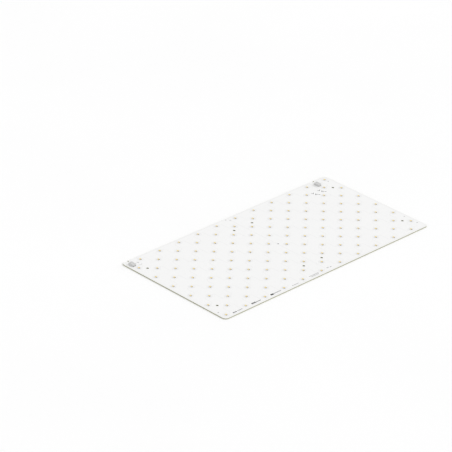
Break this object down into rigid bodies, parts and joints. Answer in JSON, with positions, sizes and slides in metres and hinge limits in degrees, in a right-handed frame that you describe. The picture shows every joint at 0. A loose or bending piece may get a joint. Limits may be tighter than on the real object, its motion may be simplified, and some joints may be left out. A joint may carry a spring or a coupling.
{
  "type": "led module",
  "caption": "Flat rectangular white LED board with staggered rows of small surface-mounted LEDs, screw holes and push-in wire terminals at one long edge.",
  "frame": {"origin": "centre of the board's underside", "axes": "+X along the long side, +Y towards the long edge with the wire terminals, +Z out of the lit face"},
  "size_m": [0.5, 0.25, 0.0057],
  "materials": {
    "laminate": "glass-epoxy laminate, olive where its sawn edge and underside show",
    "lacquer": "white solder-mask lacquer, satin",
    "copper": "copper foil",
    "tinned_metal": "tinned copper and solder, soft shine",
    "led_body": "white moulded resin",
    "phosphor": "amber-yellow phosphor in clear silicone",
    "chip": "dark semiconductor chip",
    "terminal_plastic": "pale grey moulded plastic",
    "contact_metal": "tinned spring bronze"
  },
  "bodies": {
    "root": {"board": "laminate", "solder_mask": "lacquer", "copper_net_plus": "copper", "copper_net_minus": "copper", "corner_pads": "tinned_metal", "led_chips": "chip", "copper_links_left_1": "copper", "copper_links_left_2": "copper", "copper_links_left_3": "copper", "copper_links_left_4": "copper", "copper_links_left_5": "copper", "copper_links_left_6": "copper", "copper_links_right_1": "copper", "copper_links_right_2": "copper", "copper_links_right_3": "copper", "copper_links_right_4": "copper", "copper_links_right_5": "copper", "copper_links_right_6": "copper", "led_leads_left_1": "tinned_metal", "led_leads_left_2": "tinned_metal", "led_leads_left_3": "tinned_metal", "led_leads_left_4": "tinned_metal", "led_leads_left_5": "tinned_metal", "led_leads_left_6": "tinned_metal", "led_leads_right_1": "tinned_metal", "led_leads_right_2": "tinned_metal", "led_leads_right_3": "tinned_metal", "led_leads_right_4": "tinned_metal", "led_leads_right_5": "tinned_metal", "led_leads_right_6": "tinned_metal", "led_bodies_left_1": "led_body", "led_bodies_left_2": "led_body", "led_bodies_left_3": "led_body", "led_bodies_left_4": "led_body", "led_bodies_left_5": "led_body", "led_bodies_left_6": "led_body", "led_bodies_right_1": "led_body", "led_bodies_right_2": "led_body", "led_bodies_right_3": "led_body", "led_bodies_right_4": "led_body", "led_bodies_right_5": "led_body", "led_bodies_right_6": "led_body", "led_phosphor_left_1": "phosphor", "led_phosphor_left_2": "phosphor", "led_phosphor_left_3": "phosphor", "led_phosphor_left_4": "phosphor", "led_phosphor_left_5": "phosphor", "led_phosphor_left_6": "phosphor", "led_phosphor_right_1": "phosphor", "led_phosphor_right_2": "phosphor", "led_phosphor_right_3": "phosphor", "led_phosphor_right_4": "phosphor", "led_phosphor_right_5": "phosphor", "led_phosphor_right_6": "phosphor", "left_terminal_housing": "terminal_plastic", "right_terminal_housing": "terminal_plastic", "left_contact_plus": "contact_metal", "left_contact_minus": "contact_metal", "right_contact_plus": "contact_metal", "right_contact_minus": "contact_metal"}
  },
  "joints": []
}
